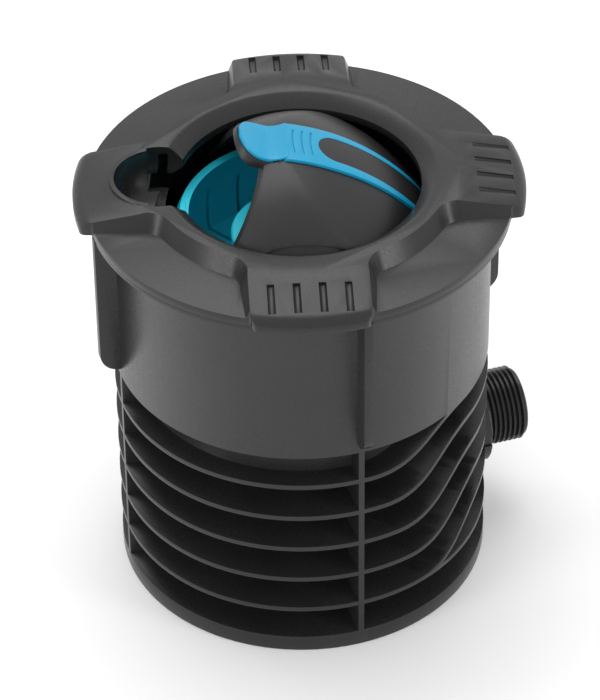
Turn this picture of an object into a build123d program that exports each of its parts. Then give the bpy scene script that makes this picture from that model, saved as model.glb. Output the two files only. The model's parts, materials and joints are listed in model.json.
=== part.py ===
from build123d import *
import os
from math import asin, cos, degrees, radians, sin, sqrt

# Ground water connection box with a ball lid, standing on the ground.
# Millimetres. Origin: centre of the underside. +Z up, lid pivots along Y, finger scoop on -X.
os.makedirs("parts", exist_ok=True)

# ---------------------------------------------------------------- driving dimensions
BODY_R = 64.0  # ribs, band and base ring
WALL = 2.0
RECESS_R = 51.0  # outside of the wall behind the ribs
STEP_R = 56.5  # outside of the wall just below the band
STEP_Z = 75.0
BAND_Z0 = 86.8
FLANGE_R = 70.6
FLANGE_Z0 = 145.2
FLANGE_TOP = 147.2
BASE_H = 6.1
SHELL_IN = 49.0  # inside of the lower wall
BAND_IN = 61.5  # inside of the band

RIB_TOP_Z = 74.2
RIB_PITCH = 13.8
RIB_T = 1.8
RIB_COUNT = 5
RIB_RISE = 16.0  # how far the ribs climb beside the inlet
WEB_AZ = (-75.0, 15.0, 105.0, 195.0)
WEB_T = 2.0
FIN_T = 3.0
FIN_R = 71.0

INLET_AZ = 15.0
INLET_Z = 36.0
THREAD_R = 13.22  # G 3/4 parallel pipe thread, outside
THREAD_ROOT_R = 12.06
THREAD_PITCH = 1.814
THREAD_TURNS = 10
INLET_END = 80.1
INLET_BORE_R = 7.5
BOSS_R = 17.0
BOSS_IN = 46.5
BOSS_OUT = 60.5
NUT_R = 18.0
NUT_OUT = 64.8
SEAL_T = 1.2

LEDGE_Z0 = 2.8  # underside of the ledge that the base plate meets
LEDGE_R = 43.0
PLATE_R = 48.7
PLATE_SCREW_R = 45.6
SCREW_HEAD_R = 2.6
SCREW_R = 1.4

RING_Z0 = FLANGE_TOP + 0.3
RING_FLOOR_Z = 150.4
RING_TOP_Z = 157.0
RING_R = 71.1
HOLE_R = 40.5
LAND_IN = 46.0
LAND_OUT = 49.8
FLOOR_IN = 52.5
LUG_R = 75.0
LUG_Z0 = 148.4
LUG_HALF_IN = 20.3
LUG_HALF_OUT = 18.75
GROOVE_R = 1.25
GROOVE_SPACING = 8.3

BALL_Z = 120.0  # height of the lid's pivot axis
BALL = (0, 0, BALL_Z)
LID_R = 49.8
LID_WALL = 2.4
LID_CLEAR = 50.3  # nothing fixed comes nearer to the ball's centre
LID_REST = 38.0  # how far the stored lid is turned open, degrees
CROWN_R = 72.7  # flatter crown that faces up when the lid is closed
CROWN_DROP = 28.5  # the crown's centre lies this far below the ball's
MOUTH_D = 35.5  # flat mouth, measured from the ball's centre
MOUTH_TILT = 5.4  # the closed mouth looks down by this much, degrees
PIN_R = 4.0
PIN_END = 53.3
STRIP_RISE = 1.0
STRIP_HALF = 9.85
PAD_END = -34.0
LEVER_END = 39.7  # centre of the lever's half-round tip

SCOOP = (-46.3, 0, 155.0)
SCOOP_R = 15.0
SCOOP_WALL_R = 16.5
LIP_TOP_Z = 143.6
LIP_R = 52.7

CRADLE_IN = 51.0
CRADLE_OUT = 53.6
CRADLE_Z0 = 128.0
BOSS_AZ = (65.0, 115.0, 245.0, 295.0)
BOSS_RING_R = 56.3
CRADLE_TAB_Z = 140.0
TAB_AZ = (45.0, 135.0, 225.0, 315.0)
TAB_ARC = 22.0
TAB_Z = 134.7

HEAD_TURNS = (0, 5, 10, 15, 20, 25)  # the bowl clears the open lid while the head is turned off
BOWL_OUT = 45.0
BOWL_IN = 42.5
BOWL_RIM_Z = 141.0
BOWL_FLOOR_Z = 112.0
TOWER_R = 23.0
TOWER_TOP_Z = 133.0
SLOT_COUNT = 20

RISER_R = 16.0
RISER_IN = 13.0
RISER_Z0 = 60.0
SPIGOT_R = 12.1
NIPPLE_R = 8.4
NIPPLE_TOP_Z = 158.0
NIPPLE_BORE_R = 4.6
STEM_R = 1.6
SPRING_Z0 = 100.0
POPPET_Z0 = 117.0

LID_FRAME = Plane(
    origin=BALL,
    x_dir=(cos(radians(LID_REST)), 0, -sin(radians(LID_REST))),
    z_dir=(sin(radians(LID_REST)), 0, cos(radians(LID_REST))),
)
INLET_DIR = (cos(radians(INLET_AZ)), sin(radians(INLET_AZ)), 0)
INLET_PLANE = Plane(origin=(0, 0, INLET_Z), x_dir=(0, 0, 1), z_dir=INLET_DIR)


def azimuth_plane(angle, z=0.0):
    """Upright plane through the Z axis: local x outwards at the azimuth, local y up."""
    outward = (cos(radians(angle)), sin(radians(angle)), 0)
    normal = (sin(radians(angle)), -cos(radians(angle)), 0)
    return Plane(origin=(0, 0, z), x_dir=outward, z_dir=normal)


def inlet_plane(distance):
    """Plane square to the inlet's axis at a distance from the Z axis."""
    return INLET_PLANE.offset(distance)


def save(builder, name):
    builder.part.label = name
    export_step(builder.part, f"parts/{name}.step")


# ---------------------------------------------------------------- casing


def rib_heights():
    return [RIB_TOP_Z - i * RIB_PITCH for i in range(RIB_COUNT)]


def wave_ribs(side):
    """Ribs of one side-cored sector that climb towards the inlet web, before (-1) or after (+1) it."""
    pull_az = INLET_AZ + 45 * side
    pull = azimuth_plane(pull_az)
    pull = Plane(origin=(0, 0, 0), x_dir=-pull.z_dir, z_dir=pull.x_dir)
    edge = BODY_R + 3
    with BuildPart() as wave:
        with BuildSketch(pull):
            for i, height in enumerate(rib_heights()):
                rise = BAND_Z0 + 0.5 - height if i == 0 else RIB_RISE
                middle = 4.5 * i - 24.0
                start = -side * BODY_R * sin(radians(middle - 18))
                end = -side * BODY_R * sin(radians(middle + 18))
                low = height - RIB_T / 2
                with BuildLine():
                    for z in (low, low + RIB_T):
                        Line((side * edge, z), (start, z))
                        Spline((start, z), (end, z + rise), tangents=[(-side, 0), (-side, 0)])
                        Line((end, z + rise), (-side * edge, z + rise))
                    Line((side * edge, low), (side * edge, low + RIB_T))
                    Line((-side * edge, low + rise), (-side * edge, low + RIB_T + rise))
                make_face()
            with Locations((0, rib_heights()[-1])):
                Rectangle(2 * edge, RIB_T)
        extrude(amount=BODY_R + 4)
        with BuildSketch(azimuth_plane(pull_az - 45)):
            with Locations(((RECESS_R + BODY_R + 1.5) / 2, BAND_Z0 / 2 + 1)):
                Rectangle(BODY_R - RECESS_R + 2.5, BAND_Z0)
        revolve(axis=Axis.Z, revolution_arc=90, mode=Mode.INTERSECT)
    return wave.part


def wall_profile(spare):
    """Half section of the casing without its ribs, left spare thicker outside to be turned down."""
    skirt = BODY_R - WALL
    Polyline(
        (SHELL_IN, 0),
        (RECESS_R, 0),
        (RECESS_R, BASE_H - RIB_T),
        (skirt, BASE_H - RIB_T),
        (skirt, 0),
        (BODY_R + spare, 0),
        (BODY_R + spare, BASE_H),
        (RECESS_R, BASE_H),
        (RECESS_R, STEP_Z),
        (STEP_R, STEP_Z),
        (STEP_R, BAND_Z0),
        (BODY_R + spare, BAND_Z0),
        (BODY_R + spare, FLANGE_Z0 - 1),
        (FLANGE_R, FLANGE_Z0 - 1),
        (FLANGE_R, FLANGE_TOP),
        (BAND_IN, FLANGE_TOP),
        (BAND_IN, BAND_Z0 + WALL),
        (STEP_R - WALL, BAND_Z0 + WALL),
        (STEP_R - WALL, STEP_Z + WALL),
        (SHELL_IN, STEP_Z + WALL),
        (SHELL_IN, LEDGE_Z0 + 2.5),
        (LEDGE_R, LEDGE_Z0 + 2.5),
        (LEDGE_R, LEDGE_Z0),
        (SHELL_IN, LEDGE_Z0),
        close=True,
    )


def ground_casing():
    spare = 2.0
    depth = BODY_R + spare - RECESS_R + 0.5
    middle = (RECESS_R - 0.5 + BODY_R + spare) / 2
    fin_corner = FIN_R - BODY_R
    fin_foot = 90.5
    with BuildPart() as casing:
        with BuildSketch(Plane.XZ):
            with BuildLine():
                wall_profile(spare)
            make_face()
        revolve(axis=Axis.Z)
        for angle in WEB_AZ:
            with BuildSketch(azimuth_plane(angle)):
                with Locations((middle, BAND_Z0 / 2 + 2)):
                    Rectangle(depth, BAND_Z0 - 2)
            extrude(amount=WEB_T / 2, both=True)
        for height in rib_heights():
            with BuildSketch(azimuth_plane(105)):
                with Locations((middle, height)):
                    Rectangle(depth, RIB_T)
            revolve(axis=Axis.Z, revolution_arc=180)
        for side in (-1, 1):
            add(wave_ribs(side))
        # everything up to the flange turned to one diameter
        with BuildSketch(Plane.XY.offset(-1)):
            Circle(BODY_R + 30)
            Circle(BODY_R, mode=Mode.SUBTRACT)
        extrude(amount=FLANGE_Z0 + 1, mode=Mode.SUBTRACT)
        for angle in WEB_AZ:
            with BuildSketch(azimuth_plane(angle)):
                with BuildLine():
                    Polyline(
                        (FIN_R - fin_corner, fin_foot),
                        (BODY_R - 1, fin_foot),
                        (BODY_R - 1, FLANGE_Z0 + 1),
                        (FIN_R, FLANGE_Z0 + 1),
                        (FIN_R, fin_foot + fin_corner),
                    )
                    RadiusArc((FIN_R, fin_foot + fin_corner), (FIN_R - fin_corner, fin_foot), fin_corner)
                make_face()
            extrude(amount=FIN_T / 2, both=True)
        # short ledges inside the open cells of the two plain sectors
        for angle in (139.0, 251.0):
            for height in rib_heights()[:-1]:
                mid = height - RIB_PITCH / 2
                with BuildSketch(azimuth_plane(angle)):
                    with Locations(((RECESS_R + STEP_R) / 2 - 0.5, mid)):
                        Rectangle(STEP_R - RECESS_R + 1, 1.0)
                extrude(amount=6.0, both=True)
        # boss that the inlet passes through
        with BuildSketch(inlet_plane(BOSS_IN)):
            Circle(BOSS_R)
        extrude(amount=BOSS_OUT - BOSS_IN)
        with BuildSketch(inlet_plane(BOSS_IN - 1)):
            Circle(THREAD_R + 0.3)
        extrude(amount=BODY_R, mode=Mode.SUBTRACT)
        with BuildSketch(inlet_plane(BOSS_OUT)):
            Circle(NUT_R + 1.5)
        extrude(amount=4, mode=Mode.SUBTRACT)
        # bayonet tabs that hold the head down
        for angle in TAB_AZ:
            with BuildSketch(azimuth_plane(angle - TAB_ARC / 2)):
                with Locations((BAND_IN - 0.7, TAB_Z + 3.3 + 1.5)):
                    Rectangle(3.4, 3.0)
            revolve(axis=Axis.Z, revolution_arc=TAB_ARC)
        with Locations(Plane.XY.offset(LEDGE_Z0 + 2.5)):
            with PolarLocations(PLATE_SCREW_R, 4, start_angle=45):
                Hole(SCREW_R, depth=2.5)
    return casing


def base_plate():
    slot_r = 30.0
    with BuildPart() as plate:
        with BuildSketch(Plane.XY):
            Circle(PLATE_R)
            with PolarLocations(slot_r, 12):
                SlotOverall(22, 3, mode=Mode.SUBTRACT)
        extrude(amount=LEDGE_Z0)
        with BuildSketch(Plane.XY.offset(LEDGE_Z0)):
            Circle(10)
            Circle(8, mode=Mode.SUBTRACT)
        extrude(amount=INLET_Z - 11 - LEDGE_Z0)
        with Locations(Plane.XY.rotated((180, 0, 0))):
            with PolarLocations(PLATE_SCREW_R, 4, start_angle=45):
                CounterBoreHole(SCREW_R + 0.2, SCREW_HEAD_R + 0.3, 1.6, depth=4)
    return plate


def screw_group(radius, angles, head_z, tip_z):
    """Pan-head screws standing on a circle, heads below, tips above."""
    head_h = 1.5
    with BuildPart() as screws:
        for angle in angles:
            spot = (radius * cos(radians(angle)), radius * sin(radians(angle)))
            with BuildSketch(Plane.XY.offset(head_z)):
                with Locations(spot):
                    Circle(SCREW_HEAD_R)
            extrude(amount=head_h)
            with BuildSketch(Plane.XY.offset(head_z + head_h)):
                with Locations(spot):
                    Circle(SCREW_R)
            extrude(amount=tip_z - head_z - head_h)
            with BuildSketch(Plane.XY.offset(head_z)):
                with Locations(spot):
                    Rectangle(3.2, 0.7)
                    Rectangle(0.7, 3.2)
            extrude(amount=0.8, mode=Mode.SUBTRACT)
    return screws


# ---------------------------------------------------------------- water path


def thread_outline(start):
    """Half section of the pipe thread, from the first root to the chamfered end."""
    points = [(THREAD_ROOT_R, start)]
    flat = THREAD_PITCH / 6
    for i in range(THREAD_TURNS):
        z = start + i * THREAD_PITCH
        points += [
            (THREAD_ROOT_R, z + flat / 2),
            (THREAD_R, z + THREAD_PITCH / 2 - flat / 2),
            (THREAD_R, z + THREAD_PITCH / 2 + flat / 2),
            (THREAD_ROOT_R, z + THREAD_PITCH - flat / 2),
        ]
    return points


def inlet_elbow():
    flange_in = BOSS_IN - SEAL_T - 3.0
    thread_start = INLET_END - 1.0 - THREAD_TURNS * THREAD_PITCH
    axis_plane = Plane(origin=(0, 0, INLET_Z), x_dir=(0, 0, 1), z_dir=azimuth_plane(INLET_AZ).z_dir)
    with BuildPart() as elbow:
        with BuildSketch(axis_plane):
            with BuildLine():
                Polyline(
                    (0, 0),
                    (11, 0),
                    (11, -flange_in),
                    (BOSS_R - 0.5, -flange_in),
                    (BOSS_R - 0.5, -flange_in - 3.0),
                    (THREAD_ROOT_R, -flange_in - 3.0),
                    *[(r, -z) for r, z in thread_outline(thread_start)],
                    (THREAD_ROOT_R, -INLET_END + 0.4),
                    (THREAD_ROOT_R - 0.4, -INLET_END),
                    (0, -INLET_END),
                    close=True,
                )
            make_face()
        revolve(axis=Axis((0, 0, INLET_Z), INLET_DIR))
        with BuildSketch(Plane.XZ):
            with BuildLine():
                Polyline(
                    (0, INLET_Z - 11),
                    (11, INLET_Z - 11),
                    (11, RISER_Z0 - 3),
                    (RISER_R, RISER_Z0 - 3),
                    (RISER_R, RISER_Z0),
                    (SPIGOT_R, RISER_Z0),
                    (SPIGOT_R, RISER_Z0 + 3),
                    (SPIGOT_R - 1.2, RISER_Z0 + 3),
                    (SPIGOT_R - 1.2, RISER_Z0 + 5),
                    (SPIGOT_R, RISER_Z0 + 5),
                    (SPIGOT_R, RISER_Z0 + 8),
                    (0, RISER_Z0 + 8),
                    close=True,
                )
            make_face()
        revolve(axis=Axis.Z)
        with BuildSketch(inlet_plane(0)):
            Circle(INLET_BORE_R)
        extrude(amount=INLET_END + 1, mode=Mode.SUBTRACT)
        with BuildSketch(Plane.XY.offset(INLET_Z - INLET_BORE_R)):
            Circle(INLET_BORE_R)
        extrude(amount=RISER_Z0 + 10 - INLET_Z + INLET_BORE_R, mode=Mode.SUBTRACT)
    return elbow


def inlet_lock_nut():
    with BuildPart() as nut:
        with BuildSketch(inlet_plane(BOSS_OUT)):
            Circle(NUT_R)
            with PolarLocations(NUT_R, 8):
                Rectangle(1.6, 4.2, mode=Mode.SUBTRACT)
            Circle(THREAD_R + 0.03, mode=Mode.SUBTRACT)
        extrude(amount=NUT_OUT - BOSS_OUT)
        inlet_axis = Axis(origin=(0, 0, INLET_Z), direction=INLET_DIR)
        outer_face = nut.faces().sort_by(inlet_axis)[-1]
        fillet(outer_face.outer_wire().edges(), 0.8)
    return nut


def flat_ring(plane, outer, inner, thickness):
    with BuildPart() as ring:
        with BuildSketch(plane):
            Circle(outer)
            Circle(inner, mode=Mode.SUBTRACT)
        extrude(amount=thickness)
    return ring


def round_seal(radius, section, height):
    """O-ring lying level round the Z axis."""
    with BuildPart() as seal:
        with BuildSketch(Plane.XZ):
            with Locations((radius, height)):
                Circle(section)
        revolve(axis=Axis.Z)
    return seal


def valve_body():
    with BuildPart() as body:
        with BuildSketch(Plane.XZ):
            with BuildLine():
                Polyline(
                    (SPIGOT_R + 0.05, RISER_Z0),
                    (19, RISER_Z0),
                    (19, RISER_Z0 + 3),
                    (RISER_R, RISER_Z0 + 5),
                    (RISER_R, TOWER_TOP_Z - WALL),
                    (RISER_IN, TOWER_TOP_Z - WALL),
                    (RISER_IN, SPRING_Z0 - 2),
                    (SPIGOT_R + 0.05, SPRING_Z0 - 2),
                    close=True,
                )
            make_face()
        revolve(axis=Axis.Z)
        for z in (90, 97, 104):
            with BuildSketch(Plane.XY.offset(z)):
                Circle(RISER_R + 1.2)
                Circle(RISER_R - 0.5, mode=Mode.SUBTRACT)
            extrude(amount=1.6)
    return body


def strainer_basket():
    outer = SPIGOT_R - 1.0
    top = SPRING_Z0
    foot = RISER_Z0 + 8.2
    with BuildPart() as basket:
        with BuildSketch(Plane.XZ):
            with BuildLine():
                Polyline(
                    (outer - 1.2, foot + 2),
                    (outer - 1.2, foot),
                    (SPIGOT_R, foot),
                    (SPIGOT_R, foot + 2),
                    (outer, foot + 2),
                    (outer, SPRING_Z0 - 1.8),
                    (RISER_IN - 0.1, SPRING_Z0 - 1.8),
                    (RISER_IN - 0.1, top),
                    (4, top),
                    (4, top - 2),
                    (outer - 1.2, top - 2),
                    close=True,
                )
            make_face()
        revolve(axis=Axis.Z)
        for row in range(4):
            with Locations(Plane.XY.offset(foot + 6 + 6 * row)):
                with PolarLocations(0, 5, start_angle=18 * row, angular_range=180, endpoint=False):
                    Cylinder(1.5, 2 * RISER_R, rotation=(0, 90, 0), mode=Mode.SUBTRACT)
    return basket


def hose_nipple():
    spigot_z = 123.4
    collar_z = 142.0
    with BuildPart() as nipple:
        with BuildSketch(Plane.XZ):
            with BuildLine():
                Polyline(
                    (NIPPLE_BORE_R, spigot_z),
                    (RISER_IN - 0.1, spigot_z),
                    (RISER_IN - 0.1, TOWER_TOP_Z),
                    (15.5, TOWER_TOP_Z),
                    (15.5, TOWER_TOP_Z + 2.4),
                    (14.7, TOWER_TOP_Z + 3.2),
                    (7.6, TOWER_TOP_Z + 3.2),
                    (7.6, collar_z - 1.2),
                    (10.2, collar_z),
                    (10.2, collar_z + 1.6),
                    (NIPPLE_R, collar_z + 3.4),
                    (NIPPLE_R, 151.0),
                    (6.8, 151.0),
                    (6.8, 153.2),
                    (NIPPLE_R, 153.2),
                    (NIPPLE_R, NIPPLE_TOP_Z - 1.6),
                    (NIPPLE_R - 1.2, NIPPLE_TOP_Z),
                    (NIPPLE_BORE_R, NIPPLE_TOP_Z),
                    close=True,
                )
            make_face()
        revolve(axis=Axis.Z)
        with BuildSketch(Plane.XY.offset(TOWER_TOP_Z)):
            with PolarLocations(15.5, 6):
                Rectangle(2.0, 5.0)
        extrude(amount=4, mode=Mode.SUBTRACT)
        # three guide ribs that centre the valve stem
        with BuildSketch(Plane.XY.offset(140)):
            with PolarLocations((NIPPLE_BORE_R + STEM_R) / 2 + 0.3, 3):
                Rectangle(NIPPLE_BORE_R - STEM_R, 1.2)
            Circle(STEM_R + 0.05, mode=Mode.SUBTRACT)
        extrude(amount=8)
    return nipple


def valve_poppet():
    with BuildPart() as poppet:
        with BuildSketch(Plane.XZ):
            with BuildLine():
                Polyline(
                    (0, POPPET_Z0),
                    (3.4, POPPET_Z0),
                    (3.4, POPPET_Z0 + 3),
                    (9, POPPET_Z0 + 3),
                    (9, POPPET_Z0 + 5),
                    (STEM_R, POPPET_Z0 + 5),
                    (STEM_R, NIPPLE_TOP_Z - 3.4),
                    (STEM_R - 0.5, NIPPLE_TOP_Z - 2.9),
                    (0, NIPPLE_TOP_Z - 2.9),
                    close=True,
                )
            make_face()
        revolve(axis=Axis.Z)
    return poppet


def valve_spring():
    wire = 0.55
    height = POPPET_Z0 + 3 - SPRING_Z0 - 2 * wire
    coil_r = 6.2
    with BuildPart() as spring:
        with BuildLine():
            coil = Helix(height / 5.5, height, coil_r, center=(0, 0, SPRING_Z0 + wire))
        with BuildSketch(Plane(origin=coil @ 0, z_dir=coil % 0)):
            Circle(wire)
        sweep(is_frenet=True)
    return spring


# ---------------------------------------------------------------- fixed bowl


def beyond_crown(inset):
    """What the turning crown sweeps on the bowl's far side, and all that lies outside it."""
    with BuildPart() as swept:
        with BuildSketch(Plane.XY.offset(BALL_Z)):
            with BuildLine():
                rise = CROWN_R - LID_WALL - 0.4 - inset
                drop = CROWN_DROP
                side = sqrt(rise**2 - drop**2)
                ThreePointArc((0, -side), (rise - drop, 0), (0, side))
                Line((0, side), (0, -side))
            make_face()
        revolve(axis=Axis(BALL, (0, 1, 0)))
    with BuildPart() as outside:
        with Locations((60, 0, BALL_Z)):
            Box(120, 140, 120)
        add(swept.part, mode=Mode.SUBTRACT)
    return outside.part


def level_slice(radius, inset, low, high):
    """Level slice of the bowl's ball, trimmed where the crown sweeps past."""
    with BuildPart() as slab:
        with BuildSketch(Plane.XY.offset(low)):
            Circle(BODY_R)
        extrude(amount=high - low)
        with Locations(BALL):
            Sphere(radius, mode=Mode.INTERSECT)
        for turn in HEAD_TURNS:
            add(beyond_crown(inset).rotate(Axis.Z, turn), mode=Mode.SUBTRACT)
    return slab.part


def bowl():
    foot_z = BOWL_FLOOR_Z - 2.4
    wall = BOWL_OUT - BOWL_IN
    outer = level_slice(BOWL_OUT, 0, foot_z, BOWL_RIM_Z)
    inner = level_slice(BOWL_IN, wall, BOWL_FLOOR_Z, BOWL_RIM_Z + 5)
    with BuildPart() as basin:
        add(outer)
        add(inner, mode=Mode.SUBTRACT)
        with BuildSketch(Plane.XY.offset(foot_z)):
            Circle(TOWER_R)
        extrude(amount=TOWER_TOP_Z - foot_z)
        round_edges = basin.edges().filter_by(GeomType.CIRCLE)
        tower_edges = round_edges.group_by(lambda e: abs(e.radius - TOWER_R))[0]
        fillet(tower_edges.sort_by(Axis.Z)[-1], 1.2)
        with BuildSketch(Plane.XY.offset(foot_z)):
            Circle(TOWER_R - WALL)
        extrude(amount=TOWER_TOP_Z - WALL - foot_z, mode=Mode.SUBTRACT)
        with BuildSketch(Plane.XY.offset(TOWER_TOP_Z - WALL)):
            Circle(RISER_IN)
        extrude(amount=2 * WALL, mode=Mode.SUBTRACT)
        with BuildSketch(Plane.XY.offset(foot_z - 1)):
            with PolarLocations((TOWER_R + 2 + BOWL_OUT) / 2, SLOT_COUNT, start_angle=9):
                Rectangle(BOWL_OUT - TOWER_R, 1.2)
        extrude(amount=129 - foot_z + 1, mode=Mode.SUBTRACT)
    return basin


# ---------------------------------------------------------------- head


def lug_shape(grow):
    """Plan of one lug along +X, sides drawn out by grow."""
    Polyline(
        (30, -LUG_HALF_IN - grow),
        (54, -LUG_HALF_IN - grow),
        (90, -LUG_HALF_OUT - grow + 1.3),
        (90, LUG_HALF_OUT + grow - 1.3),
        (54, LUG_HALF_IN + grow),
        (30, LUG_HALF_IN + grow),
        close=True,
    )


def ring_outline():
    """Plan of the whole top ring with its four lugs."""
    with BuildSketch() as lug:
        with BuildLine():
            lug_shape(0)
        make_face()
        Circle(LUG_R, mode=Mode.INTERSECT)
    with BuildSketch() as outline:
        Circle(RING_R)
        with PolarLocations(0, 4):
            add(lug.sketch)
        rim = [v for v in outline.vertices() if abs(sqrt(v.X**2 + v.Y**2) - RING_R) < 0.5]
        fillet(rim, 1.2)
        corners = [v for v in outline.vertices() if sqrt(v.X**2 + v.Y**2) > LUG_R - 0.3]
        fillet(corners, 2.4)
    return outline.sketch


def pocket_plan(lift):
    """The four sunk floors between the lugs, widened by the slope of their walls."""
    slope = (FLOOR_IN - LAND_OUT) / (RING_TOP_Z - RING_FLOOR_Z)
    shift = slope * lift
    with BuildSketch() as lug:
        with BuildLine():
            lug_shape(1.6 - shift)
        make_face()
    with BuildSketch() as pockets:
        Circle(LUG_R + 6)
        Circle(FLOOR_IN - shift, mode=Mode.SUBTRACT)
        with PolarLocations(0, 4):
            add(lug.sketch, mode=Mode.SUBTRACT)
        inner = [v for v in pockets.vertices() if sqrt(v.X**2 + v.Y**2) < FLOOR_IN + 2]
        fillet(inner, 7.0 + shift)
    return pockets.sketch


def grip_groove(spot, angle):
    """Round-bottomed grip groove sunk in a lug's sloping top."""
    slope = degrees(asin((RING_TOP_Z - 153.7) / (71.5 - 54)))
    height = RING_TOP_Z - (64.5 - 54) * sin(radians(slope))
    base = Plane(
        origin=(0, 0, 0),
        x_dir=(cos(radians(angle)), sin(radians(angle)), 0),
        z_dir=(0, 0, 1),
    )
    centre = base.from_local_coords(Vector(64.5, spot, height))
    along = base.x_dir * cos(radians(slope)) + Vector(0, 0, -sin(radians(slope)))
    with BuildPart(Plane(origin=centre, x_dir=base.y_dir, z_dir=along)) as groove:
        Cylinder(GROOVE_R, 12.4)
    return groove.part


def top_ring():
    outline = ring_outline()
    low = pocket_plan(0)
    high = pocket_plan(RING_TOP_Z + 1 - RING_FLOOR_Z)
    with BuildPart() as pockets:
        for quarter in range(4):
            middle = Vector(60, 0, 0).rotate(Axis.Z, 45 + 90 * quarter)
            pair = [
                min(plan.faces(), key=lambda f: (f.center() - middle).length) for plan in (low, high)
            ]
            with BuildSketch(Plane.XY.offset(RING_FLOOR_Z)):
                add(pair[0])
            with BuildSketch(Plane.XY.offset(RING_TOP_Z + 1)):
                add(pair[1])
            loft(ruled=True)
    grooves = [
        grip_groove(GROOVE_SPACING * (i - 1.5), angle) for angle in (0, 90, 270) for i in range(4)
    ]
    with BuildPart() as ring:
        with BuildSketch(Plane.XY.offset(RING_Z0)):
            add(outline)
        extrude(amount=RING_TOP_Z + 2 - RING_Z0)
        with BuildSketch(Plane.XZ):
            with BuildLine():
                Polyline(
                    (HOLE_R, 150.3),
                    (HOLE_R, 153.0),
                    (LAND_IN - 1, 156.6),
                    (LAND_IN, RING_TOP_Z),
                    (54, RING_TOP_Z),
                    (71.5, 153.7),
                )
                ThreePointArc((71.5, 153.7), (73.9, 152.4), (LUG_R + 0.2, 150.6))
                Polyline(
                    (LUG_R + 0.2, 150.6),
                    (LUG_R + 0.2, LUG_Z0),
                    (RING_R, LUG_Z0),
                    (RING_R, RING_Z0),
                    (44.0, RING_Z0),
                    (HOLE_R, 150.3),
                )
            make_face()
        revolve(axis=Axis.Z, mode=Mode.INTERSECT)
        add(pockets.part, mode=Mode.SUBTRACT)
        # hollow under the raised ring
        with BuildSketch(Plane.XY.offset(RING_Z0)):
            Circle(49.0)
            Circle(45.8, mode=Mode.SUBTRACT)
        extrude(amount=6.5, mode=Mode.SUBTRACT)
        # finger scoop with its own wall
        with Locations(SCOOP):
            Sphere(SCOOP_WALL_R)
        with BuildSketch(Plane.XY.offset(RING_TOP_Z)):
            Circle(LUG_R)
        extrude(amount=20, mode=Mode.SUBTRACT)
        with Locations(BALL):
            Sphere(LID_CLEAR, mode=Mode.SUBTRACT)
        with BuildSketch(Plane.XY.offset(RING_Z0 - 20)):
            Circle(HOLE_R)
        extrude(amount=40, mode=Mode.SUBTRACT)
    with BuildPart() as hollow:
        with Locations(SCOOP):
            Sphere(SCOOP_R)
        with Locations(BALL):
            Sphere(LIP_R, mode=Mode.SUBTRACT)
    with BuildPart() as lip_space:
        with BuildSketch(Plane.XY.offset(LIP_TOP_Z)):
            with Locations((-44, 0)):
                Rectangle(12, 2 * SCOOP_WALL_R)
        extrude(amount=20)
        with Locations(SCOOP):
            Sphere(SCOOP_WALL_R, mode=Mode.INTERSECT)
    with BuildPart() as finished:
        add(ring.part)
        add(hollow.part, mode=Mode.SUBTRACT)
        add(lip_space.part, mode=Mode.SUBTRACT)
        for groove in grooves:
            add(groove, mode=Mode.SUBTRACT)
        # seal groove, and bosses for the cradle's screws
        with BuildSketch(Plane.XY.offset(RING_Z0)):
            Circle(67)
            Circle(65, mode=Mode.SUBTRACT)
        extrude(amount=1.3, mode=Mode.SUBTRACT)
        with BuildSketch(Plane.XY.offset(CRADLE_TAB_Z + 2.5)):
            for angle in BOSS_AZ:
                with Locations((BOSS_RING_R * cos(radians(angle)), BOSS_RING_R * sin(radians(angle)))):
                    Circle(SCREW_HEAD_R)
        extrude(amount=RING_Z0 + 1 - CRADLE_TAB_Z - 2.5)
        with BuildSketch(Plane.XY.offset(CRADLE_TAB_Z + 2)):
            for angle in BOSS_AZ:
                with Locations((BOSS_RING_R * cos(radians(angle)), BOSS_RING_R * sin(radians(angle)))):
                    Circle(SCREW_R)
        extrude(amount=6.5, mode=Mode.SUBTRACT)
    return finished


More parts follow.
